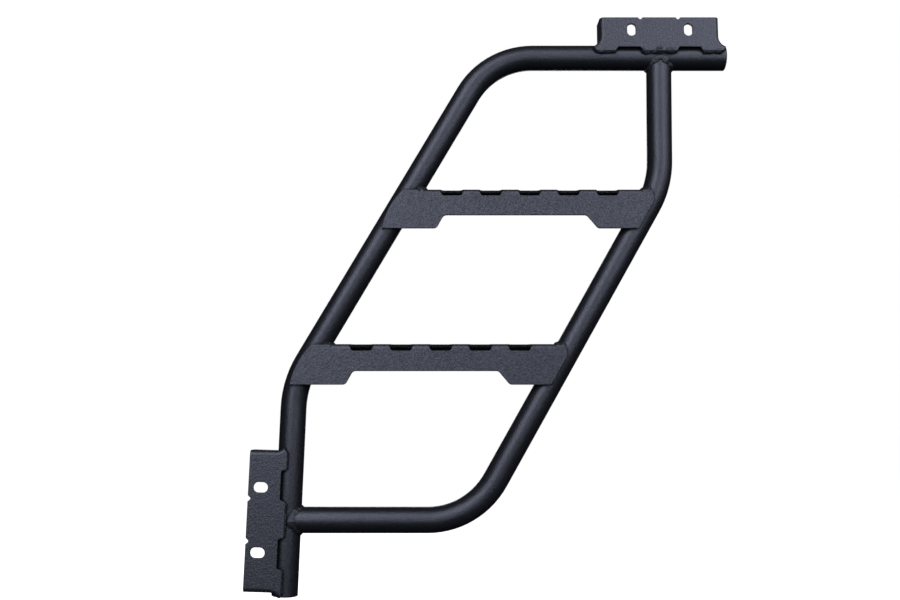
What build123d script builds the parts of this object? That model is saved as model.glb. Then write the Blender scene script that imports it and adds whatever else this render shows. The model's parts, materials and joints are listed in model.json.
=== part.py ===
from build123d import *
import math
import os

os.makedirs("parts", exist_ok=True)

# Roof rack side ladder. Millimetres, +Z up, +X along the top run, the mounting faces look along -Y.
# The origin is on the mounting face of the top plate, between its two slots.

# ---- tube stock
TUBE_OD = 31.75
TUBE_R = TUBE_OD / 2
WALL = 2.0
SEAT = 0.375            # depth that a sheet sits into the front of a tube
BEND_BIG = 95.25        # centre-line radius of the two 60 degree bends
BEND_SMALL = 120.0      # centre-line radius of the two shallow bends

# ---- sheet stock
PLATE_T = 4.0
STEP_T = 3.0
AXIS_Y = PLATE_T - SEAT + TUBE_R      # plane of all the tube centre lines
STEP_Y = AXIS_Y - TUBE_R + SEAT - STEP_T   # front face of the steps

# ---- outer rail centre line (x, z)
TOP_Z = -29.9
A_END = (86.7, TOP_Z)
A_C1 = (-215.0, TOP_Z)
A_C2 = (-458.0, -446.6)
A_LEAN = math.radians(1.70)
A_FOOT_Z = -702.6
A_FOOT = (A_C2[0] + math.tan(A_LEAN) * (A_FOOT_Z - A_C2[1]), A_FOOT_Z)
CAP_T = 2.5

# ---- inner rail centre line (x, z)
BOT_Z = -612.8
B_C1 = (-237.6, BOT_Z)
B_C2 = (-0.2, -196.5)
B_LEAN = math.radians(0.95)
B_TOP_Z = TOP_Z - 2.0
B_TOP = (B_C2[0] + math.tan(B_LEAN) * (B_TOP_Z - B_C2[1]), B_TOP_Z)
A_AT_BOT = A_C2[0] + math.tan(A_LEAN) * (BOT_Z - A_C2[1])
B_TEE = (A_AT_BOT + 2.0, BOT_Z)

# ---- mounting plates (along the tube, out from the tube axis)
EDGE_OUT = 47.0         # tube axis to the free edge
TOP_FOOT = 3.4          # feet stop just short of the tube axis line
LOW_FOOT = 1.8
FLANGE_D = 28.0         # depth of the folded ends
FLARE_R = 13.5          # concave flare of the folded ends towards the tube
TOP_FLARE_FROM = 23.0
LOW_FLARE_FROM = 17.0
TOP_FLARE = 70.0        # turn of the flare, degrees
LOW_FLARE_BOT = 56.0
LOW_FLARE_TOP = 38.0
BEND_OUT_R = 5.5
TOP_LEFT = 75.0
TOP_RIGHT = 76.2
TOP_SLOT_PITCH = 72.2
TOP_SLOT_W = 11.1
TOP_SLOT_L = 16.0
TOP_SLOT_X = 1.1
SLOT_OUT = 0.9 - TOP_Z   # slot centres above the top run's axis
LOW_LEN = 167.8
LOW_SLOT_PITCH = 77.1
LOW_SLOT_X = 1.25
LOW_SLOT_W = 12.4
LOW_SLOT_L = 17.7
LOW_SLOT_OUT = 32.2
LOW_MID_Z = -613.3

# ---- steps
STEP_DEPTH = 38.0
STEP_LIP = 18.0
NOTCH_PITCH = 48.6
NOTCH_TOP = 31.5
NOTCH_BOT = 24.0
NOTCH_DOWN = 8.5
NOTCH_IN = 10.0
UP_X, UP_Z = -166.4, -205.4
LO_X, LO_Z = -277.4, -399.3


def unit(p, q):
    d = math.hypot(q[0] - p[0], q[1] - p[1])
    return ((q[0] - p[0]) / d, (q[1] - p[1]) / d)


def bend(p, c, q, radius):
    # start point, end point, turn in degrees and first direction of a bend at corner c
    a, b = unit(p, c), unit(c, q)
    turn = math.degrees(math.atan2(a[0] * b[1] - a[1] * b[0], a[0] * b[0] + a[1] * b[1]))
    t = radius * math.tan(math.radians(abs(turn)) / 2)
    return (c[0] - a[0] * t, c[1] - a[1] * t), (c[0] + b[0] * t, c[1] + b[1] * t), turn, a


AXIS = Plane(origin=(0, AXIS_Y, 0), x_dir=(1, 0, 0), z_dir=(0, -1, 0))   # local y is +Z
LEG_UP = (math.sin(A_LEAN), math.cos(A_LEAN))
CAP_TOP_IN = (A_END[0] - CAP_T, TOP_Z)
CAP_LOW_IN = (A_FOOT[0] + LEG_UP[0] * CAP_T, A_FOOT[1] + LEG_UP[1] * CAP_T)

# ================= outer rail
s1, e1, t1, d1 = bend(CAP_TOP_IN, A_C1, A_C2, BEND_BIG)
s2, e2, t2, d2 = bend(A_C1, A_C2, CAP_LOW_IN, BEND_SMALL)
with BuildPart() as outer_rail:
    with BuildLine(AXIS) as run_a:
        Line(CAP_TOP_IN, s1)
        JernArc(s1, d1, BEND_BIG, t1)
        Line(e1, s2)
        JernArc(s2, d2, BEND_SMALL, t2)
        Line(e2, CAP_LOW_IN)
    with BuildSketch(Plane(origin=(CAP_TOP_IN[0], AXIS_Y, TOP_Z), x_dir=(0, 1, 0), z_dir=(-1, 0, 0))):
        Circle(TUBE_R)
        Circle(TUBE_R - WALL, mode=Mode.SUBTRACT)
    sweep(path=run_a.wires()[0])
outer_rail.part.label = "outer_rail"
export_step(outer_rail.part, "parts/outer_rail.step")

# the space that the outer rail fills, for cutting the pieces that meet it
with BuildPart() as outer_bar:
    with BuildLine(AXIS) as run_a2:
        Line(CAP_TOP_IN, s1)
        JernArc(s1, d1, BEND_BIG, t1)
        Line(e1, s2)
        JernArc(s2, d2, BEND_SMALL, t2)
        Line(e2, CAP_LOW_IN)
    with BuildSketch(Plane(origin=(CAP_TOP_IN[0], AXIS_Y, TOP_Z), x_dir=(0, 1, 0), z_dir=(-1, 0, 0))):
        Circle(TUBE_R)
    sweep(path=run_a2.wires()[0])

# ================= inner rail, coped onto the outer rail at both ends
s3, e3, t3, d3 = bend(B_TOP, B_C2, B_C1, BEND_SMALL)
s4, e4, t4, d4 = bend(B_C2, B_C1, B_TEE, BEND_BIG)
with BuildPart() as inner_rail:
    with BuildLine(AXIS) as run_b:
        Line(B_TOP, s3)
        JernArc(s3, d3, BEND_SMALL, t3)
        Line(e3, s4)
        JernArc(s4, d4, BEND_BIG, t4)
        Line(e4, B_TEE)
    with BuildSketch(Plane(origin=(B_TOP[0], AXIS_Y, B_TOP_Z), x_dir=(0, 1, 0), z_dir=(-math.sin(B_LEAN), 0, -math.cos(B_LEAN)))):
        Circle(TUBE_R)
        Circle(TUBE_R - WALL, mode=Mode.SUBTRACT)
    sweep(path=run_b.wires()[0])
    with Locations(Location((B_TOP[0], AXIS_Y, TOP_Z), (0, 90, 0))):
        Cylinder(TUBE_R, 90, mode=Mode.SUBTRACT)
    with Locations(Location((A_AT_BOT, AXIS_Y, BOT_Z), (0, math.degrees(A_LEAN), 0))):
        Cylinder(TUBE_R, 90, mode=Mode.SUBTRACT)
inner_rail.part.label = "inner_rail"
export_step(inner_rail.part, "parts/inner_rail.step")

# the space that the inner rail fills
with BuildPart() as inner_bar:
    with BuildLine(AXIS) as run_b2:
        Line(B_TOP, s3)
        JernArc(s3, d3, BEND_SMALL, t3)
        Line(e3, s4)
        JernArc(s4, d4, BEND_BIG, t4)
        Line(e4, B_TEE)
    with BuildSketch(Plane(origin=(B_TOP[0], AXIS_Y, B_TOP_Z), x_dir=(0, 1, 0), z_dir=(-math.sin(B_LEAN), 0, -math.cos(B_LEAN)))):
        Circle(TUBE_R)
    sweep(path=run_b2.wires()[0])

# ================= end caps
with BuildPart() as top_end_cap:
    with BuildSketch(Plane(origin=(CAP_TOP_IN[0], AXIS_Y, TOP_Z), x_dir=(0, 1, 0), z_dir=(1, 0, 0))):
        Circle(TUBE_R)
    extrude(amount=CAP_T)
    fillet(top_end_cap.faces().sort_by(Axis.X)[-1].edges(), radius=1.2)
top_end_cap.part.label = "top_end_cap"
export_step(top_end_cap.part, "parts/top_end_cap.step")

with BuildPart() as bottom_end_cap:
    with BuildSketch(Plane(origin=(CAP_LOW_IN[0], AXIS_Y, CAP_LOW_IN[1]), x_dir=(0, 1, 0), z_dir=(-LEG_UP[0], 0, -LEG_UP[1]))):
        Circle(TUBE_R)
    extrude(amount=CAP_T)
    fillet(bottom_end_cap.faces().sort_by(Axis.Z)[0].edges(), radius=1.2)
bottom_end_cap.part.label = "bottom_end_cap"
export_step(bottom_end_cap.part, "parts/bottom_end_cap.step")

# ================= top mounting plate
TOP_PL = Plane(origin=(0, 0, TOP_Z), x_dir=(1, 0, 0), z_dir=(0, -1, 0))


def flare(turn, radius, inset, start):
    # sideways reach and end height of a folded end's curve
    a = math.radians(turn)
    return radius * (1 - math.cos(a)) - inset, start - radius * math.sin(a)


FI_R = FLARE_R + PLATE_T
FX, FY = flare(TOP_FLARE, FLARE_R, 0, TOP_FLARE_FROM)
IX, IY = flare(TOP_FLARE, FI_R, PLATE_T, TOP_FLARE_FROM)
GX, GY = flare(LOW_FLARE_BOT, FLARE_R, 0, LOW_FLARE_FROM)
KX, KY = flare(LOW_FLARE_BOT, FI_R, PLATE_T, LOW_FLARE_FROM)
SX, SY = flare(LOW_FLARE_TOP, FLARE_R, 0, LOW_FLARE_FROM)
JX, JY = flare(LOW_FLARE_TOP, FI_R, PLATE_T, LOW_FLARE_FROM)

with BuildPart() as top_mount_plate:
    with BuildSketch(TOP_PL):
        with BuildLine():
            Line((-TOP_LEFT - FX, FY), (-TOP_LEFT - FX, TOP_FOOT))
            Line((-TOP_LEFT - FX, TOP_FOOT), (TOP_RIGHT + FX, TOP_FOOT))
            Line((TOP_RIGHT + FX, TOP_FOOT), (TOP_RIGHT + FX, FY))
            JernArc((TOP_RIGHT, TOP_FLARE_FROM), (0, -1), FLARE_R, TOP_FLARE)
            Line((TOP_RIGHT, TOP_FLARE_FROM), (TOP_RIGHT, EDGE_OUT))
            Line((TOP_RIGHT, EDGE_OUT), (-TOP_LEFT, EDGE_OUT))
            Line((-TOP_LEFT, EDGE_OUT), (-TOP_LEFT, TOP_FLARE_FROM))
            JernArc((-TOP_LEFT, TOP_FLARE_FROM), (0, -1), FLARE_R, -TOP_FLARE)
        make_face()
    extrude(amount=-FLANGE_D)
    front = top_mount_plate.faces().sort_by(Axis.Y)[0]
    ends = [e for e in front.edges() if (e.center().X > TOP_RIGHT - 1 or e.center().X < -TOP_LEFT + 1) and e.center().Z > TOP_Z + FY + 0.5]
    fillet(ends, radius=BEND_OUT_R)
    with BuildSketch(TOP_PL.offset(-PLATE_T)):
        with BuildLine():
            Line((-TOP_LEFT - IX, IY), (-TOP_LEFT - IX, -30))
            Line((-TOP_LEFT - IX, -30), (TOP_RIGHT + IX, -30))
            Line((TOP_RIGHT + IX, -30), (TOP_RIGHT + IX, IY))
            JernArc((TOP_RIGHT - PLATE_T, TOP_FLARE_FROM), (0, -1), FI_R, TOP_FLARE)
            Line((TOP_RIGHT - PLATE_T, TOP_FLARE_FROM), (TOP_RIGHT - PLATE_T, 60))
            Line((TOP_RIGHT - PLATE_T, 60), (-TOP_LEFT + PLATE_T, 60))
            Line((-TOP_LEFT + PLATE_T, 60), (-TOP_LEFT + PLATE_T, TOP_FLARE_FROM))
            JernArc((-TOP_LEFT + PLATE_T, TOP_FLARE_FROM), (0, -1), FI_R, -TOP_FLARE)
        make_face()
    extrude(amount=-40, mode=Mode.SUBTRACT)
    with BuildSketch(TOP_PL.offset(2)):
        for side, end in ((-1, TOP_LEFT), (1, TOP_RIGHT)):
            with BuildLine():
                Polyline((side * (end + FX + 2), FY - 0.8), (side * (end + FX - 0.3), FY - 0.8), (side * (end + FX - 4.6), TOP_FOOT - 0.6), (side * (end + FX - 4.6), -12), (side * (end + 40), -12), (side * (end + 40), FY - 0.8), close=True)
            make_face()
        for x_in, x_foot in ((-23.6, -21.0), (25.3, 22.6)):
            side = 1 if x_in > 0 else -1
            with BuildLine():
                FilletPolyline((x_foot, TOP_FOOT - 1), (x_foot, TOP_FOOT), (x_in, 8.4), (side * 52.4, 8.4), (side * 55.6, TOP_FOOT), (side * 55.6, TOP_FOOT - 1), radius=1.6)
                Line((side * 55.6, TOP_FOOT - 1), (x_foot, TOP_FOOT - 1))
            make_face()
        for side in (-1, 1):
            with BuildLine():
                Polyline((side * 24.0 - 3.3, EDGE_OUT + 0.5), (side * 24.0 - 0.5, EDGE_OUT - 2.4), (side * 24.0 + 1.1, EDGE_OUT - 2.4), (side * 24.0 + 3.9, EDGE_OUT + 0.5), close=True)
            make_face()
    extrude(amount=-FLANGE_D - 4, mode=Mode.SUBTRACT)
    with BuildSketch(TOP_PL.offset(2)):
        with Locations((TOP_SLOT_X - TOP_SLOT_PITCH / 2, SLOT_OUT), (TOP_SLOT_X + TOP_SLOT_PITCH / 2, SLOT_OUT)):
            SlotOverall(TOP_SLOT_L, TOP_SLOT_W, rotation=90)
    extrude(amount=-PLATE_T - 4, mode=Mode.SUBTRACT)
    with Locations(Location((0, AXIS_Y, TOP_Z), (0, 90, 0))):
        Cylinder(TUBE_R, 300, mode=Mode.SUBTRACT)
top_mount_plate.part.label = "top_mount_plate"
export_step(top_mount_plate.part, "parts/top_mount_plate.step")

# ================= lower mounting plate, on the leaning leg
LOW_MID_X = A_C2[0] + math.tan(A_LEAN) * (LOW_MID_Z - A_C2[1])
LOW_PL = Plane(origin=(LOW_MID_X, 0, LOW_MID_Z), x_dir=(LEG_UP[0], 0, LEG_UP[1]), z_dir=(0, -1, 0))
G = LOW_LEN / 2
with BuildPart() as lower_mount_plate:
    with BuildSketch(LOW_PL):
        with BuildLine():
            Line((-G - GX, GY), (-G - GX, LOW_FOOT - 9))
            Line((-G - GX, LOW_FOOT - 9), (G + SX, LOW_FOOT - 9))
            Line((G + SX, LOW_FOOT - 9), (G + SX, SY))
            JernArc((G, LOW_FLARE_FROM), (0, -1), FLARE_R, LOW_FLARE_TOP)
            Line((G, LOW_FLARE_FROM), (G, EDGE_OUT))
            Line((G, EDGE_OUT), (-G, EDGE_OUT))
            Line((-G, EDGE_OUT), (-G, LOW_FLARE_FROM))
            JernArc((-G, LOW_FLARE_FROM), (0, -1), FLARE_R, -LOW_FLARE_BOT)
        make_face()
    extrude(amount=-FLANGE_D)
    front = lower_mount_plate.faces().sort_by(Axis.Y)[0]
    ends = []
    for e in front.edges():
        p = LOW_PL.to_local_coords(e.center())
        if (p.X > G - 1 and p.Y > SY + 0.5) or (p.X < -G + 1 and p.Y > GY + 0.5):
            ends.append(e)
    fillet(ends, radius=BEND_OUT_R)
    with BuildSketch(LOW_PL.offset(-PLATE_T)):
        with BuildLine():
            Line((-G - KX, KY), (-G - KX, -30))
            Line((-G - KX, -30), (G + JX, -30))
            Line((G + JX, -30), (G + JX, JY))
            JernArc((G - PLATE_T, LOW_FLARE_FROM), (0, -1), FI_R, LOW_FLARE_TOP)
            Line((G - PLATE_T, LOW_FLARE_FROM), (G - PLATE_T, 60))
            Line((G - PLATE_T, 60), (-G + PLATE_T, 60))
            Line((-G + PLATE_T, 60), (-G + PLATE_T, LOW_FLARE_FROM))
            JernArc((-G + PLATE_T, LOW_FLARE_FROM), (0, -1), FI_R, -LOW_FLARE_BOT)
        make_face()
    extrude(amount=-40, mode=Mode.SUBTRACT)
    with BuildSketch(LOW_PL.offset(2)):
        with BuildLine():
            Polyline((-G - 40, LOW_FOOT), (G + 40, LOW_FOOT), (G + 40, -30), (-G - 40, -30), close=True)
        make_face()
        with BuildLine():
            Polyline((-G - GX - 2, GY - 0.8), (-G - GX + 0.3, GY - 0.8), (-G - GX + 4.6, LOW_FOOT - 0.6), (-G - GX + 4.6, -12), (-G - 40, -12), (-G - 40, GY - 0.8), close=True)
        make_face()
        with BuildLine():
            FilletPolyline((G + SX - 4.4, -12), (G + SX - 4.4, LOW_FOOT + 0.4), (G + SX - 0.2, LOW_FOOT + 4.6), (G + SX + 4, LOW_FOOT + 4.6), radius=1.8)
            Line((G + SX + 4, LOW_FOOT + 4.6), (G + SX + 4, -12))
            Line((G + SX + 4, -12), (G + SX - 4.4, -12))
        make_face()
        for x1, x2 in ((24.0, 61.2), (-20.0, -57.0)):
            turn = 1 if x1 > 0 else -1
            with BuildLine():
                FilletPolyline((x1 - turn * 1.2, LOW_FOOT - 1), (x1 - turn * 1.2, LOW_FOOT), (x1 + turn * 1.2, 8.4), (x2 - turn * 1.0, 8.4), (x2, LOW_FOOT), (x2, LOW_FOOT - 1), radius=2.2)
                Line((x2, LOW_FOOT - 1), (x1 - turn * 1.2, LOW_FOOT - 1))
            make_face()
        for x in (26.45, -23.95):
            with BuildLine():
                Polyline((x - 4.0, EDGE_OUT + 0.5), (x - 0.9, EDGE_OUT - 3.1), (x + 0.9, EDGE_OUT - 3.1), (x + 4.0, EDGE_OUT + 0.5), close=True)
            make_face()
    extrude(amount=-FLANGE_D - 4, mode=Mode.SUBTRACT)
    with BuildSketch(LOW_PL.offset(2)):
        with Locations((LOW_SLOT_X - LOW_SLOT_PITCH / 2, LOW_SLOT_OUT), (LOW_SLOT_X + LOW_SLOT_PITCH / 2, LOW_SLOT_OUT)):
            SlotOverall(LOW_SLOT_L, LOW_SLOT_W, rotation=90)
    extrude(amount=-PLATE_T - 4, mode=Mode.SUBTRACT)
    with Locations(Location((LOW_MID_X, AXIS_Y, LOW_MID_Z), (0, math.degrees(A_LEAN), 0))):
        Cylinder(TUBE_R, 300, mode=Mode.SUBTRACT)
lower_mount_plate.part.label = "lower_mount_plate"
export_step(lower_mount_plate.part, "parts/lower_mount_plate.step")

# ================= steps
SLOPE_A = (A_C1[0] - A_C2[0]) / (A_C1[1] - A_C2[1])
SLOPE_B = (B_C2[0] - B_C1[0]) / (B_C2[1] - B_C1[1])
FLANK_A = TUBE_R * math.hypot(1, SLOPE_A)
FLANK_B = TUBE_R * math.hypot(1, SLOPE_B)
# face outline about the middle of the step, from its top edge
EAR_TOP = -1.1
EAR_DOWN = -50.0
WEB_DOWN = -33.4
EAR_L = [(-163.4, -6.6), (-170.8, -16.0), (-177.4, -28.2), (-181.6, -38.8), (-184.2, EAR_DOWN)]
EAR_R = [(135.0, EAR_DOWN), (153.4, -17.8)]


def rail_a(z):
    return A_C2[0] + SLOPE_A * (z - A_C2[1])


def rail_b(z):
    return B_C1[0] + SLOPE_B * (z - B_C1[1])


FOLD_R = STEP_T + 2.8
UP_A, UP_B = rail_a(UP_Z) + FLANK_A, rail_b(UP_Z - STEP_T) - FLANK_B
LO_A, LO_B = rail_a(LO_Z) + FLANK_A, rail_b(LO_Z - STEP_T) - FLANK_B
NT, NB = NOTCH_TOP / 2, NOTCH_BOT / 2
NOTCH_FACE = [(-NT - 1.2, 2.5), (-NB - 0.9, -NOTCH_DOWN + 2.2), (-NB - 0.1, -NOTCH_DOWN + 0.8), (-NB + 1.6, -NOTCH_DOWN),
              (NB - 1.6, -NOTCH_DOWN), (NB + 0.1, -NOTCH_DOWN + 0.8), (NB + 0.9, -NOTCH_DOWN + 2.2), (NT + 1.2, 2.5)]
NOTCH_TREAD = [(-NT, 2.0), (-NB - 0.9, NOTCH_IN - 2.4), (-NB + 1.6, NOTCH_IN), (NB - 1.6, NOTCH_IN), (NB + 0.9, NOTCH_IN - 2.4), (NT, 2.0)]

# the far edge of each notch in the tread leans back underneath
UNDERCUT = [(NOTCH_IN - 1.0, -0.5), (NOTCH_IN, -0.5), (NOTCH_IN + 2.6, -STEP_T - 0.6), (NOTCH_IN - 1.0, -STEP_T - 0.6)]

with BuildPart() as upper_step:
    # face sheet with its two ears
    with BuildSketch(Plane(origin=(UP_X, STEP_Y, UP_Z), x_dir=(1, 0, 0), z_dir=(0, -1, 0))):
        with BuildLine():
            Polyline((-155.5, EAR_TOP), (UP_A - UP_X, EAR_TOP), (UP_A - UP_X, 0), (UP_B - UP_X, 0), (UP_B - UP_X, EAR_TOP), (150.0, EAR_TOP))
            Spline((150.0, EAR_TOP), (153.6, -5.0), (154.9, -10.6), EAR_R[1], tangents=((1, -0.1), (-0.5, -0.87)))
            Line(EAR_R[1], EAR_R[0])
            FilletPolyline(EAR_R[0], (84.6, EAR_DOWN), (70.6, WEB_DOWN), (-107.2, WEB_DOWN), (-116.4, EAR_DOWN), EAR_L[4], radius=6.0)
            Spline(EAR_L[4], EAR_L[3], EAR_L[2], EAR_L[1], EAR_L[0])
            Spline(EAR_L[0], (-160.4, -3.2), (-155.5, EAR_TOP), tangents=((0.62, 0.78), (1, 0)))
        make_face()
    extrude(amount=-STEP_T)
    # rolled front edge, tread and back lip, between the two rails
    with BuildSketch(Plane(origin=(UP_A, STEP_Y, UP_Z), x_dir=(0, 1, 0), z_dir=(1, 0, 0))):
        with Locations((STEP_T / 2, -FOLD_R / 2)):
            Rectangle(STEP_T + 2, FOLD_R + 1e-6)
    extrude(amount=UP_B - UP_A, mode=Mode.SUBTRACT)
    with BuildSketch(Plane(origin=(UP_A, STEP_Y, UP_Z), x_dir=(0, 1, 0), z_dir=(1, 0, 0))):
        with BuildLine():
            Line((0, -FOLD_R), (STEP_T, -FOLD_R))
            RadiusArc((STEP_T, -FOLD_R), (FOLD_R, -STEP_T), FOLD_R - STEP_T)
            Line((FOLD_R, -STEP_T), (STEP_DEPTH - FOLD_R, -STEP_T))
            RadiusArc((STEP_DEPTH - FOLD_R, -STEP_T), (STEP_DEPTH - STEP_T, -FOLD_R), FOLD_R - STEP_T)
            Line((STEP_DEPTH - STEP_T, -FOLD_R), (STEP_DEPTH - STEP_T, -STEP_LIP))
            Line((STEP_DEPTH - STEP_T, -STEP_LIP), (STEP_DEPTH, -STEP_LIP))
            Line((STEP_DEPTH, -STEP_LIP), (STEP_DEPTH, -FOLD_R))
            RadiusArc((STEP_DEPTH, -FOLD_R), (STEP_DEPTH - FOLD_R, 0), -FOLD_R)
            Line((STEP_DEPTH - FOLD_R, 0), (FOLD_R, 0))
            RadiusArc((FOLD_R, 0), (0, -FOLD_R), -FOLD_R)
        make_face()
    extrude(amount=UP_B - UP_A)
    # notches across the rolled edge: down the face, then into the tread
    with BuildSketch(Plane(origin=(UP_X, STEP_Y - 2, UP_Z), x_dir=(1, 0, 0), z_dir=(0, -1, 0))):
        with GridLocations(NOTCH_PITCH, 1, 5, 1):
            Polygon(*NOTCH_FACE, align=None)
    extrude(amount=-(2 + STEP_T + 0.6), mode=Mode.SUBTRACT)
    with BuildSketch(Plane(origin=(UP_X, STEP_Y, UP_Z + 1), x_dir=(1, 0, 0), z_dir=(0, 0, 1))):
        with GridLocations(NOTCH_PITCH, 1, 5, 1):
            Polygon(*NOTCH_TREAD, align=None)
    extrude(amount=-(1 + STEP_T + 0.6), mode=Mode.SUBTRACT)
    for i in range(5):
        with BuildSketch(Plane(origin=(UP_X + NOTCH_PITCH * (i - 2) - NB + 0.6, STEP_Y, UP_Z), x_dir=(0, 1, 0), z_dir=(1, 0, 0))):
            Polygon(*UNDERCUT, align=None)
        extrude(amount=NOTCH_BOT - 1.2, mode=Mode.SUBTRACT)
    add(outer_bar.part, mode=Mode.SUBTRACT)
    add(inner_bar.part, mode=Mode.SUBTRACT)
upper_step.part.label = "upper_step"
export_step(upper_step.part, "parts/upper_step.step")

with BuildPart() as lower_step:
    # face sheet with its two ears
    with BuildSketch(Plane(origin=(LO_X, STEP_Y, LO_Z), x_dir=(1, 0, 0), z_dir=(0, -1, 0))):
        with BuildLine():
            Polyline((-155.5, EAR_TOP), (LO_A - LO_X, EAR_TOP), (LO_A - LO_X, 0), (LO_B - LO_X, 0), (LO_B - LO_X, EAR_TOP), (150.0, EAR_TOP))
            Spline((150.0, EAR_TOP), (153.6, -5.0), (154.9, -10.6), EAR_R[1], tangents=((1, -0.1), (-0.5, -0.87)))
            Line(EAR_R[1], EAR_R[0])
            FilletPolyline(EAR_R[0], (84.6, EAR_DOWN), (70.6, WEB_DOWN), (-107.2, WEB_DOWN), (-116.4, EAR_DOWN), EAR_L[4], radius=6.0)
            Spline(EAR_L[4], EAR_L[3], EAR_L[2], EAR_L[1], EAR_L[0])
            Spline(EAR_L[0], (-160.4, -3.2), (-155.5, EAR_TOP), tangents=((0.62, 0.78), (1, 0)))
        make_face()
    extrude(amount=-STEP_T)
    # rolled front edge, tread and back lip, between the two rails
    with BuildSketch(Plane(origin=(LO_A, STEP_Y, LO_Z), x_dir=(0, 1, 0), z_dir=(1, 0, 0))):
        with Locations((STEP_T / 2, -FOLD_R / 2)):
            Rectangle(STEP_T + 2, FOLD_R + 1e-6)
    extrude(amount=LO_B - LO_A, mode=Mode.SUBTRACT)
    with BuildSketch(Plane(origin=(LO_A, STEP_Y, LO_Z), x_dir=(0, 1, 0), z_dir=(1, 0, 0))):
        with BuildLine():
            Line((0, -FOLD_R), (STEP_T, -FOLD_R))
            RadiusArc((STEP_T, -FOLD_R), (FOLD_R, -STEP_T), FOLD_R - STEP_T)
            Line((FOLD_R, -STEP_T), (STEP_DEPTH - FOLD_R, -STEP_T))
            RadiusArc((STEP_DEPTH - FOLD_R, -STEP_T), (STEP_DEPTH - STEP_T, -FOLD_R), FOLD_R - STEP_T)
            Line((STEP_DEPTH - STEP_T, -FOLD_R), (STEP_DEPTH - STEP_T, -STEP_LIP))
            Line((STEP_DEPTH - STEP_T, -STEP_LIP), (STEP_DEPTH, -STEP_LIP))
            Line((STEP_DEPTH, -STEP_LIP), (STEP_DEPTH, -FOLD_R))
            RadiusArc((STEP_DEPTH, -FOLD_R), (STEP_DEPTH - FOLD_R, 0), -FOLD_R)
            Line((STEP_DEPTH - FOLD_R, 0), (FOLD_R, 0))
            RadiusArc((FOLD_R, 0), (0, -FOLD_R), -FOLD_R)
        make_face()
    extrude(amount=LO_B - LO_A)
    # notches across the rolled edge: down the face, then into the tread
    with BuildSketch(Plane(origin=(LO_X, STEP_Y - 2, LO_Z), x_dir=(1, 0, 0), z_dir=(0, -1, 0))):
        with GridLocations(NOTCH_PITCH, 1, 5, 1):
            Polygon(*NOTCH_FACE, align=None)
    extrude(amount=-(2 + STEP_T + 0.6), mode=Mode.SUBTRACT)
    with BuildSketch(Plane(origin=(LO_X, STEP_Y, LO_Z + 1), x_dir=(1, 0, 0), z_dir=(0, 0, 1))):
        with GridLocations(NOTCH_PITCH, 1, 5, 1):
            Polygon(*NOTCH_TREAD, align=None)
    extrude(amount=-(1 + STEP_T + 0.6), mode=Mode.SUBTRACT)
    for i in range(5):
        with BuildSketch(Plane(origin=(LO_X + NOTCH_PITCH * (i - 2) - NB + 0.6, STEP_Y, LO_Z), x_dir=(0, 1, 0), z_dir=(1, 0, 0))):
            Polygon(*UNDERCUT, align=None)
        extrude(amount=NOTCH_BOT - 1.2, mode=Mode.SUBTRACT)
    add(outer_bar.part, mode=Mode.SUBTRACT)
    add(inner_bar.part, mode=Mode.SUBTRACT)
lower_step.part.label = "lower_step"
export_step(lower_step.part, "parts/lower_step.step")

# ================= weld beads
BEAD = 3.6
RUN_AT = Location((B_TOP[0], AXIS_Y, TOP_Z), (0, 90, 0))
STEM_AT = Location((B_TOP[0] + math.tan(B_LEAN) * (TOP_Z - B_TOP_Z), AXIS_Y, TOP_Z), (0, math.degrees(B_LEAN), 0))
LEG_AT = Location((A_AT_BOT, AXIS_Y, BOT_Z), (0, math.degrees(A_LEAN), 0))
ARM_AT = Location((A_AT_BOT, AXIS_Y, BOT_Z), (0, 90, 0))

with BuildPart() as upper_tee_weld:
    with Locations(RUN_AT):
        Cylinder(TUBE_R + BEAD, 80)
    with Locations(STEM_AT):
        Cylinder(TUBE_R + BEAD, 80, mode=Mode.INTERSECT)
    with Locations(Location((B_TOP[0], AXIS_Y, TOP_Z))):
        Sphere(TUBE_R * math.sqrt(2) + BEAD * 0.8, mode=Mode.INTERSECT)
    with Locations(Location((B_TOP[0], AXIS_Y, TOP_Z + 48))):
        Box(100, 100, 100, mode=Mode.SUBTRACT)
    with Locations(RUN_AT):
        Cylinder(TUBE_R, 120, mode=Mode.SUBTRACT)
    with Locations(STEM_AT):
        Cylinder(TUBE_R, 120, mode=Mode.SUBTRACT)
upper_tee_weld.part.label = "upper_tee_weld"
export_step(upper_tee_weld.part, "parts/upper_tee_weld.step")

with BuildPart() as lower_tee_weld:
    with Locations(LEG_AT):
        Cylinder(TUBE_R + BEAD, 80)
    with Locations(ARM_AT):
        Cylinder(TUBE_R + BEAD, 80, mode=Mode.INTERSECT)
    with Locations(Location((A_AT_BOT, AXIS_Y, BOT_Z))):
        Sphere(TUBE_R * math.sqrt(2) + BEAD * 0.8, mode=Mode.INTERSECT)
    with Locations(Location((A_AT_BOT - 48, AXIS_Y, BOT_Z))):
        Box(100, 100, 100, mode=Mode.SUBTRACT)
    with Locations(LEG_AT):
        Cylinder(TUBE_R, 120, mode=Mode.SUBTRACT)
    with Locations(ARM_AT):
        Cylinder(TUBE_R, 120, mode=Mode.SUBTRACT)
lower_tee_weld.part.label = "lower_tee_weld"
export_step(lower_tee_weld.part, "parts/lower_tee_weld.step")

# beads under the feet of the plates: (from, to) along the tube
TOP_BEADS = [(-79.0, -57.5), (-20.0, -12.5), (12.5, 21.5), (57.5, 79.0)]
LOW_BEADS = [(-86.0, -58.5), (-18.5, -11.0), (14.5, 22.0), (63.0, 82.0)]
BEAD_Y = [(0, -0.9), (0, -PLATE_T - 3.0), (-3.6, -PLATE_T - 3.0), (-3.6, -PLATE_T + 0.6), (-2.0, -2.0)]

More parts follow.
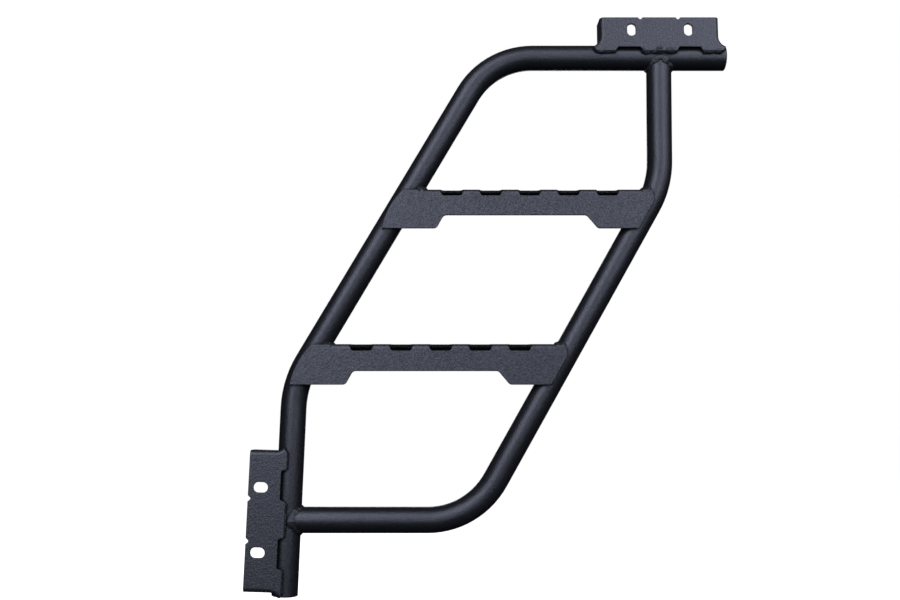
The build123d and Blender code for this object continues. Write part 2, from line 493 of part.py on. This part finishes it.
with BuildPart() as top_plate_welds:
    for start, stop in TOP_BEADS:
        with BuildSketch(Plane(origin=(start, 0, TOP_Z), x_dir=(0, 0, 1), z_dir=(1, 0, 0))):
            with BuildLine():
                Polyline(*[(TOP_FOOT + h, d) for h, d in BEAD_Y], close=True)
            make_face()
        extrude(amount=stop - start)
    with Locations(RUN_AT):
        Cylinder(TUBE_R, 240, mode=Mode.SUBTRACT)
    add(upper_tee_weld.part, mode=Mode.SUBTRACT)
top_plate_welds.part.label = "top_plate_welds"
export_step(top_plate_welds.part, "parts/top_plate_welds.step")

with BuildPart() as lower_plate_welds:
    for start, stop in LOW_BEADS:
        with BuildSketch(Plane(origin=(LOW_MID_X + LEG_UP[0] * start, 0, LOW_MID_Z + LEG_UP[1] * start), x_dir=(-LEG_UP[1], 0, LEG_UP[0]), z_dir=(LEG_UP[0], 0, LEG_UP[1]))):
            with BuildLine():
                Polyline(*[(LOW_FOOT + h, d) for h, d in BEAD_Y], close=True)
            make_face()
        extrude(amount=stop - start)
    with Locations(LEG_AT):
        Cylinder(TUBE_R, 240, mode=Mode.SUBTRACT)
    add(lower_tee_weld.part, mode=Mode.SUBTRACT)
lower_plate_welds.part.label = "lower_plate_welds"
export_step(lower_plate_welds.part, "parts/lower_plate_welds.step")

# beads where the ears' top edges cross the rails: (height above the edge, depth behind the face)
EAR_BEAD = [(0.0, 0.5), (1.6, 0.9), (3.2, STEP_T + 0.2), (3.2, STEP_T + 5.0), (0.0, STEP_T + 5.0)]
EAR_BEADS = [(-157.5, -138.0), (143.0, 150.5)]

with BuildPart() as upper_step_welds:
    for start, stop in EAR_BEADS:
        with BuildSketch(Plane(origin=(UP_X + start, STEP_Y, UP_Z), x_dir=(0, 0, 1), z_dir=(1, 0, 0))):
            with BuildLine():
                Polyline(*[(EAR_TOP + h, -d) for h, d in EAR_BEAD], close=True)
            make_face()
        extrude(amount=stop - start)
    add(outer_bar.part, mode=Mode.SUBTRACT)
    add(inner_bar.part, mode=Mode.SUBTRACT)
upper_step_welds.part.label = "upper_step_welds"
export_step(upper_step_welds.part, "parts/upper_step_welds.step")

with BuildPart() as lower_step_welds:
    for start, stop in EAR_BEADS:
        with BuildSketch(Plane(origin=(LO_X + start, STEP_Y, LO_Z), x_dir=(0, 0, 1), z_dir=(1, 0, 0))):
            with BuildLine():
                Polyline(*[(EAR_TOP + h, -d) for h, d in EAR_BEAD], close=True)
            make_face()
        extrude(amount=stop - start)
    add(outer_bar.part, mode=Mode.SUBTRACT)
    add(inner_bar.part, mode=Mode.SUBTRACT)
lower_step_welds.part.label = "lower_step_welds"
export_step(lower_step_welds.part, "parts/lower_step_welds.step")
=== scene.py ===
import json
import math
import random

import bpy
import bmesh
from mathutils import Vector, Matrix


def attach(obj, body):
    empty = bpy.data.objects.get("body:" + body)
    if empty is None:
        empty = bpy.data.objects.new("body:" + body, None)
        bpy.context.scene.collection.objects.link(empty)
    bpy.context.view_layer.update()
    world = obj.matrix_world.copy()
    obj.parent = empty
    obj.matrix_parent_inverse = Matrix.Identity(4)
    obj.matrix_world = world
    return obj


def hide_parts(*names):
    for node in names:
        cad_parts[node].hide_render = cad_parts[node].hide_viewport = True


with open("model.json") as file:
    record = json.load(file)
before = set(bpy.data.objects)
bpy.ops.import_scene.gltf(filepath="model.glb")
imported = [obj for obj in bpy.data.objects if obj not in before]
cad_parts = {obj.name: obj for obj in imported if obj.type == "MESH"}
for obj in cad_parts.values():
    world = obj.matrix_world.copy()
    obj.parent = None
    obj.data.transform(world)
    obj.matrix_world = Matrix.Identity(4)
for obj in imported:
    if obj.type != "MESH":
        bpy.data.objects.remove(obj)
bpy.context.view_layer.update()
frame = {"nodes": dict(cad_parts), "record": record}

scene = bpy.context.scene
MM = 0.001

# ------------------------------------------------------------------ materials


def coat(name, base, light, rough, grain_mm, bump, blotch=0.35, edge=0.0, spec=0.5):
    """Fine-textured powder coat: pebbled bump, small roughness and tone variation, and painted crevice shade from
    ambient occlusion.
    """
    m = bpy.data.materials.new(name)
    m.use_nodes = True
    nt = m.node_tree
    n, l = nt.nodes, nt.links
    n.clear()
    out = n.new("ShaderNodeOutputMaterial")
    bsdf = n.new("ShaderNodeBsdfPrincipled")
    l.new(bsdf.outputs["BSDF"], out.inputs["Surface"])
    bsdf.inputs["IOR"].default_value = 1.5
    bsdf.inputs["Specular Tint"].default_value = (0.71, 0.77, 1.0, 1)
    tc = n.new("ShaderNodeTexCoord")
    # pebble grain
    grain = n.new("ShaderNodeTexNoise")
    grain.inputs["Scale"].default_value = 1000.0 / grain_mm
    grain.inputs["Detail"].default_value = 3.0
    grain.inputs["Roughness"].default_value = 0.6
    l.new(tc.outputs["Object"], grain.inputs["Vector"])
    cell = n.new("ShaderNodeTexVoronoi")
    cell.feature = "SMOOTH_F1"
    cell.inputs["Scale"].default_value = 1000.0 / (grain_mm * 1.7)
    cell.inputs["Smoothness"].default_value = 0.7
    l.new(tc.outputs["Object"], cell.inputs["Vector"])
    # slow tone drift
    slow = n.new("ShaderNodeTexNoise")
    slow.inputs["Scale"].default_value = 22.0
    slow.inputs["Detail"].default_value = 4.0
    slow.inputs["Roughness"].default_value = 0.55
    l.new(tc.outputs["Object"], slow.inputs["Vector"])
    mixv = n.new("ShaderNodeMath")
    mixv.operation = "MULTIPLY_ADD"
    mixv.inputs[1].default_value = blotch
    l.new(slow.outputs["Fac"], mixv.inputs[0])
    l.new(grain.outputs["Fac"], mixv.inputs[2])
    ramp = n.new("ShaderNodeValToRGB")
    ramp.color_ramp.elements[0].position = 0.42
    ramp.color_ramp.elements[0].color = (*base, 1)
    ramp.color_ramp.elements[1].position = 0.95
    ramp.color_ramp.elements[1].color = (*light, 1)
    l.new(mixv.outputs[0], ramp.inputs["Fac"])
    l.new(ramp.outputs["Color"], bsdf.inputs["Base Color"])
    rr = n.new("ShaderNodeMapRange")
    rr.inputs["From Min"].default_value = 0.3
    rr.inputs["From Max"].default_value = 0.7
    rr.inputs["To Min"].default_value = rough - 0.05
    rr.inputs["To Max"].default_value = rough + 0.06
    l.new(grain.outputs["Fac"], rr.inputs["Value"])
    l.new(rr.outputs["Result"], bsdf.inputs["Roughness"])
    # shine: speckled with the grain; painted shade: ambient occlusion cuts the specular in the crevices beside welds
    # and laps, so they render dark as if shaded
    speck = n.new("ShaderNodeMapRange")
    speck.inputs["From Min"].default_value = 0.3
    speck.inputs["From Max"].default_value = 0.7
    speck.inputs["To Min"].default_value = spec * 0.62
    speck.inputs["To Max"].default_value = spec * 1.38
    l.new(grain.outputs["Fac"], speck.inputs["Value"])
    ao = n.new("ShaderNodeAmbientOcclusion")
    ao.samples = 6
    ao.inputs["Distance"].default_value = 0.0045
    # painted shade: where ambient occlusion finds nearby surfaces, the specular is scaled down towards 0.08,
    # darkening contact lines and crevices
    painted_crevice_shade = n.new("ShaderNodeMapRange")
    painted_crevice_shade.inputs["From Min"].default_value = 0.55
    painted_crevice_shade.inputs["From Max"].default_value = 0.96
    painted_crevice_shade.inputs["To Min"].default_value = 0.08
    painted_crevice_shade.inputs["To Max"].default_value = 1.0
    l.new(ao.outputs["AO"], painted_crevice_shade.inputs["Value"])
    spec_with_painted_shade = n.new("ShaderNodeMath")
    spec_with_painted_shade.operation = "MULTIPLY"
    l.new(speck.outputs["Result"], spec_with_painted_shade.inputs[0])
    l.new(painted_crevice_shade.outputs["Result"], spec_with_painted_shade.inputs[1])
    l.new(spec_with_painted_shade.outputs[0], bsdf.inputs["Specular IOR Level"])
    hsum = n.new("ShaderNodeMath")
    hsum.operation = "MULTIPLY_ADD"
    hsum.inputs[1].default_value = 0.6
    l.new(cell.outputs["Distance"], hsum.inputs[0])
    l.new(grain.outputs["Fac"], hsum.inputs[2])
    b = n.new("ShaderNodeBump")
    if edge:
        soft = n.new("ShaderNodeBevel")
        soft.samples = 6
        soft.inputs["Radius"].default_value = edge * MM
        l.new(soft.outputs["Normal"], b.inputs["Normal"])
    b.inputs["Strength"].default_value = bump
    b.inputs["Distance"].default_value = 0.00034
    l.new(hsum.outputs[0], b.inputs["Height"])
    l.new(b.outputs["Normal"], bsdf.inputs["Normal"])
    return m


TUBE = coat("tube_coat", (0.0036, 0.0040, 0.0056), (0.0080, 0.0086, 0.0116), 0.34, 1.2, 0.8, spec=0.46)
SHEET = coat("sheet_coat", (0.0046, 0.0050, 0.0072), (0.0135, 0.0145, 0.0195), 0.40, 1.8, 1.0, edge=1.5)
WELD = coat("weld_coat", (0.0036, 0.0040, 0.0056), (0.0085, 0.0091, 0.0120), 0.44, 1.6, 1.0, spec=0.38)

FINISH = {"tube_coat": TUBE, "sheet_coat": SHEET, "weld_coat": WELD}
slot_of = {s["node"]: s["material_slot"] for s in frame["record"]["subparts"]}
for name, obj in frame["nodes"].items():
    obj.data.materials.clear()
    obj.data.materials.append(FINISH[slot_of[name]])

# ------------------------------------------------------------------ weld beads
# Rail geometry in millimetres, the same numbers as the part.
R = 15.875
AXIS_Y = 19.5
TOP_Z = -29.9
BOT_Z = -612.8
LEG_TAN = math.tan(math.radians(1.70))
STEM_TAN = math.tan(math.radians(0.95))
LOW_MID_Z = -613.3
STEPS = {"upper": (-166.4, -205.4), "lower": (-277.4, -399.3)}
SLOPE_A = 243.0 / 416.7
SLOPE_B = 237.4 / 416.3


def leg_x(z):
    return -458.0 + LEG_TAN * (z + 446.6)


def stem_x(z):
    return -0.2 + STEM_TAN * (z + 196.5)


def rail_a(z):
    return -458.0 + SLOPE_A * (z + 446.6)


def rail_b(z):
    return -237.6 + SLOPE_B * (z + 612.8)


def bead(bm, pts, outs, half, rise, pitch, seed, lump=0.22, closed=False, taper=2.5, segs=14, low=None):
    """One rippled weld run. pts: joint line, outs: outward directions, half: half width,
    rise: crown height, pitch: ripple spacing, low: nothing goes below this height, all in mm."""
    rng = random.Random(seed)
    pts = [Vector(q) for q in pts]
    outs = [Vector(q).normalized() for q in outs]
    # walk the line in even steps
    seg = [(pts[i + 1] - pts[i]).length for i in range(len(pts) - 1)]
    total = sum(seg)
    n = max(8, int(total / 0.45))
    line, k, run = [], 0, 0.0
    for i in range(n + 1):
        t = total * i / n
        while k < len(seg) - 1 and run + seg[k] < t:
            run += seg[k]
            k += 1
        f = 0 if seg[k] == 0 else min(1.0, (t - run) / seg[k])
        line.append((pts[k].lerp(pts[k + 1], f), outs[k].lerp(outs[k + 1], f).normalized(), t))
    # uneven ripple spacing, one value a ripple
    marks, t = [], -pitch
    while t < total + 2 * pitch:
        marks.append((t, rng.uniform(-1, 1), rng.uniform(-1, 1), rng.uniform(-1, 1)))
        t += pitch * rng.uniform(0.75, 1.3)
    if closed:
        line = line[:-1]
    rings, m = [], len(line)
    for i, (c, o, t) in enumerate(line):
        nxt = line[(i + 1) % m][0] if closed or i < m - 1 else c
        prv = line[i - 1][0] if closed or i > 0 else c
        d = (nxt - prv).normalized()
        side = d.cross(o).normalized()
        o = side.cross(d).normalized()
        j = max(q for q in range(len(marks) - 1) if marks[q][0] <= t)
        a, b2 = marks[j], marks[j + 1]
        f = (t - a[0]) / (b2[0] - a[0])
        e = f * f * (3 - 2 * f)
        scallop = 0.86 + 0.14 * math.sin(math.pi * min(1.0, f * 1.15)) ** 0.6
        w = half * (1 + lump * (a[1] * (1 - e) + b2[1] * e)) * (0.93 + 0.07 * scallop)
        h = rise * (1 + 1.3 * lump * (a[2] * (1 - e) + b2[2] * e)) * scallop
        shift = half * 0.9 * lump * (a[3] * (1 - e) + b2[3] * e)
        if not closed:
            q = min(1.0, min(t, total - t) / taper)
            q = math.sqrt(max(0.0, 1 - (1 - q) ** 2))
            w *= 0.25 + 0.75 * q
            h *= 0.05 + 0.95 * q
        ring = []
        for v in range(segs):
            ang = 2 * math.pi * v / segs
            up = math.sin(ang)
            lag = 0.55 * pitch * (abs(math.cos(ang)) ** 2) * (1 if up > 0 else 0)
            p3 = c + side * (shift + w * math.cos(ang)) + o * (h * up if up > 0 else 1.6 * up) - d * lag * 0.5
            if low is not None:
                p3.z = max(p3.z, low)
            ring.append(bm.verts.new(p3 * MM))
        rings.append(ring)
    for i in range(len(rings) if closed else len(rings) - 1):
        r0, r1 = rings[i], rings[(i + 1) % len(rings)]
        for v in range(segs):
            bm.faces.new((r0[v], r0[(v + 1) % segs], r1[(v + 1) % segs], r1[v]))
    if not closed:
        bm.faces.new(list(reversed(rings[0])))
        bm.faces.new(rings[-1])


def weld_piece(name, node, runs):
    bm = bmesh.new()
    for r in runs:
        bead(bm, **r)
    bmesh.ops.recalc_face_normals(bm, faces=bm.faces)
    me = bpy.data.meshes.new(name)
    bm.to_mesh(me)
    bm.free()
    me.polygons.foreach_set("use_smooth", [True] * len(me.polygons))
    o = bpy.data.objects.new(name, me)
    scene.collection.objects.link(o)
    o.data.materials.append(WELD)
    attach(o, "root")
    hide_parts(node)
    return o


def ring_path(kind):
    pts, outs = [], []
    for i in range(145):
        a = 2 * math.pi * i / 144
        ca, sa = math.cos(a), math.sin(a)
        rise = math.sqrt(ca * ca + 0.10)
        if kind == "upper":
            z = TOP_Z - R * rise
            pts.append((stem_x(z) + R * ca, AXIS_Y + R * sa, z))
            outs.append((ca, 2 * sa, -abs(ca)))
        else:
            z = BOT_Z + R * ca
            pts.append((leg_x(z) + R * rise, AXIS_Y + R * sa, z))
            outs.append((abs(ca), 2 * sa, ca))
    return pts, outs


pu, ou = ring_path("upper")
weld_piece("upper_tee_bead", "upper_tee_weld", [
    dict(pts=pu, outs=ou, half=4.9, rise=1.6, pitch=5.0, seed=11, lump=0.34, closed=True)])
pl, ol = ring_path("lower")
weld_piece("lower_tee_bead", "lower_tee_weld", [
    dict(pts=pl, outs=ol, half=4.6, rise=1.5, pitch=5.0, seed=23, lump=0.34, closed=True)])

# feet of the top plate: along the lower edge, turning up the outer corners
FOOT = TOP_Z + 3.4


def straight(p, q, out, n=24):
    p, q = Vector(p), Vector(q)
    return [p.lerp(q, i / n) for i in range(n + 1)], [out] * (n + 1)


runs = []
for x0, x1, sd, half in ((-80.0, -55.0, 31, 3.5), (-21.5, 23.0, 32, 3.9), (56.0, 80.5, 33, 3.3)):
    a, o = straight((x0, 2.2, FOOT - 0.5), (x1, 2.2, FOOT - 0.5), (0, -0.86, -0.5))
    runs.append(dict(pts=a, outs=o, half=half, rise=1.7, pitch=4.6, seed=sd, lump=0.40))
for sx, ex, sd in ((-1, 75.0, 34), (1, 76.2, 35)):
    a, o = straight((sx * (ex + 8.4), 5.0, TOP_Z + 9.8), (sx * (ex + 4.4), 3.2, FOOT), (sx * 0.5, -0.8, -0.3))
    runs.append(dict(pts=a, outs=o, half=2.3, rise=1.1, pitch=4.0, seed=sd, lump=0.34))
weld_piece("top_plate_beads", "top_plate_welds", runs)

# feet of the lower plate, in the leaning leg's own directions
lean = math.radians(1.70)
UPV = Vector((math.sin(lean), 0, math.cos(lean)))
OUTV = Vector((-math.cos(lean), 0, math.sin(lean)))
MID = Vector((leg_x(LOW_MID_Z), 0, LOW_MID_Z))


def on_leg(s, q, y):
    return MID + UPV * s + OUTV * q + Vector((0, y, 0))


runs = []
for s0, s1, sd, half, rise in ((-85.5, -57.5, 41, 2.0, 1.0), (-18.5, 22.5, 42, 2.3, 1.2), (63.0, 79.0, 43, 1.2, 0.5)):
    a, o = straight(on_leg(s0, 1.2, 2.6), on_leg(s1, 1.2, 2.6), (0.6, -0.8, 0))
    runs.append(dict(pts=a, outs=o, half=half, rise=rise, pitch=3.4, seed=sd, lump=0.34))
a, o = straight(on_leg(-89.4, 5.6, 4.6), on_leg(-86.0, 1.6, 3.4), (0.3, -0.8, -0.5))
runs.append(dict(pts=a, outs=o, half=1.9, rise=1.0, pitch=3.2, seed=44, lump=0.3))
weld_piece("lower_plate_beads", "lower_plate_welds", runs)

# steps: short lumpy runs along the ears' top edges, then round the rails on the tread
for which, (sx, sz) in STEPS.items():
    runs = []
    base = 50 if which == "upper" else 70
    span = {"upper": ((-152.0, -132.0, 2.0), (143.5, 150.0, 1.4)), "lower": ((-155.0, -136.0, 1.7), (141.0, 151.0, 1.8))}[which]
    for k, (x0, x1, half) in enumerate(span):
        a, o = straight((sx + x0, 4.6, sz - 0.4), (sx + x1, 4.6, sz - 0.4), (0, -0.6, 0.8))
        runs.append(dict(pts=a, outs=o, half=half, rise=1.2, pitch=4.2, seed=base + k, lump=0.62))
    leg = {"upper": (7.6, 6.4), "lower": (5.0, 4.4)}[which]
    for k, (fx, slope, sgn, half) in enumerate(((rail_a, SLOPE_A, 1, leg[0]), (rail_b, SLOPE_B, -1, leg[1]))):
        wide = R * math.hypot(1, slope)
        pts, outs = [], []
        for i in range(41):
            t = math.radians(-62 + 124 * i / 40)
            pts.append((fx(sz) + sgn * wide * math.cos(t), AXIS_Y + R * math.sin(t), sz))
            outs.append((sgn * math.cos(t), math.sin(t), 0.9))
        runs.append(dict(pts=pts, outs=outs, half=half, rise=half * 0.6, pitch=3.6, seed=base + 4 + k, lump=0.26, low=sz - 2.4))
    weld_piece(which + "_step_beads", which + "_step_welds", runs)

# ------------------------------------------------------------------ stage, light, camera
FLOOR_Z = -0.95


def plane(name, size, z):
    me = bpy.data.meshes.new(name)
    bm = bmesh.new()
    bmesh.ops.create_grid(bm, x_segments=2, y_segments=2, size=size)
    bm.to_mesh(me)
    bm.free()
    o = bpy.data.objects.new(name, me)
    scene.collection.objects.link(o)
    o.location = (-0.2, 0.0, z)
    return o


floor = plane("floor", 40.0, FLOOR_Z)
fm = bpy.data.materials.new("pale_floor")
fm.use_nodes = True
fb = fm.node_tree.nodes["Principled BSDF"]
fb.inputs["Base Color"].default_value = (0.85, 0.85, 0.85, 1)
fb.inputs["Roughness"].default_value = 0.9
fb.inputs["Specular IOR Level"].default_value = 0.1
fb.inputs["Emission Color"].default_value = (1, 1, 1, 1)
fb.inputs["Emission Strength"].default_value = 1.0
floor.data.materials.append(fm)
floor.visible_glossy = False
floor.visible_diffuse = False

world = bpy.data.worlds.new("studio")
scene.world = world
world.use_nodes = True
wn, wl = world.node_tree.nodes, world.node_tree.links
wn.clear()
wo = wn.new("ShaderNodeOutputWorld")
seen = wn.new("ShaderNodeBackground")
seen.inputs["Color"].default_value = (1, 1, 1, 1)
seen.inputs["Strength"].default_value = 1.0
lit = wn.new("ShaderNodeBackground")
lit.inputs["Color"].default_value = (0.9, 0.93, 1.0, 1)
lit.inputs["Strength"].default_value = 0.015
lp = wn.new("ShaderNodeLightPath")
mx = wn.new("ShaderNodeMixShader")
wl.new(lp.outputs["Is Camera Ray"], mx.inputs["Fac"])
wl.new(lit.outputs["Background"], mx.inputs[1])
wl.new(seen.outputs["Background"], mx.inputs[2])
wl.new(mx.outputs["Shader"], wo.inputs["Surface"])

AIM = Vector((-0.21, 0.02, -0.34))


def softbox(name, az, el, dist, half_az, half_el, radiance, color=(1, 1, 1)):
    """Square-on soft panel, placed by the directions it covers as seen from the object."""
    a, e = math.radians(az), math.radians(el)
    d = Vector((math.sin(a) * math.cos(e), -math.cos(a) * math.cos(e), math.sin(e)))
    li = bpy.data.lights.new(name, "AREA")
    li.shape = "RECTANGLE"
    li.size = 2 * dist * math.tan(math.radians(half_az))
    li.size_y = 2 * dist * math.tan(math.radians(half_el))
    li.energy = radiance * math.pi * li.size * li.size_y
    li.color = color
    o = bpy.data.objects.new(name, li)
    scene.collection.objects.link(o)
    o.location = AIM + d * dist
    o.rotation_euler = (-d).to_track_quat("-Z", "Y").to_euler()
    o.visible_camera = False
    return o


softbox("left_box", -25, 28, 2.4, 15.5, 28, 5.9)
softbox("right_box", 31, 28, 2.4, 15, 28, 4.4)
softbox("right_wing", 60, 28, 2.4, 14, 28, 1.6)
softbox("low_front", -4, -6, 2.4, 34, 10, 1.3)
softbox("back_box", 180, 9, 3.0, 13, 10, 2.6)

cam = bpy.data.cameras.new("camera")
cam.sensor_width = 36.0
cam.lens = 40.0
cam.clip_start = 0.05
cam_o = bpy.data.objects.new("camera", cam)
scene.collection.objects.link(cam_o)
cam_o.location = (-0.2659, -1.22165, -0.49156)
cam_o.rotation_euler = (math.radians(90 + 6.82), 0, 0)
scene.camera = cam_o

scene.view_settings.view_transform = "Standard"
scene.view_settings.look = "None"
scene.view_settings.exposure = 0.0
scene.view_settings.gamma = 1.0
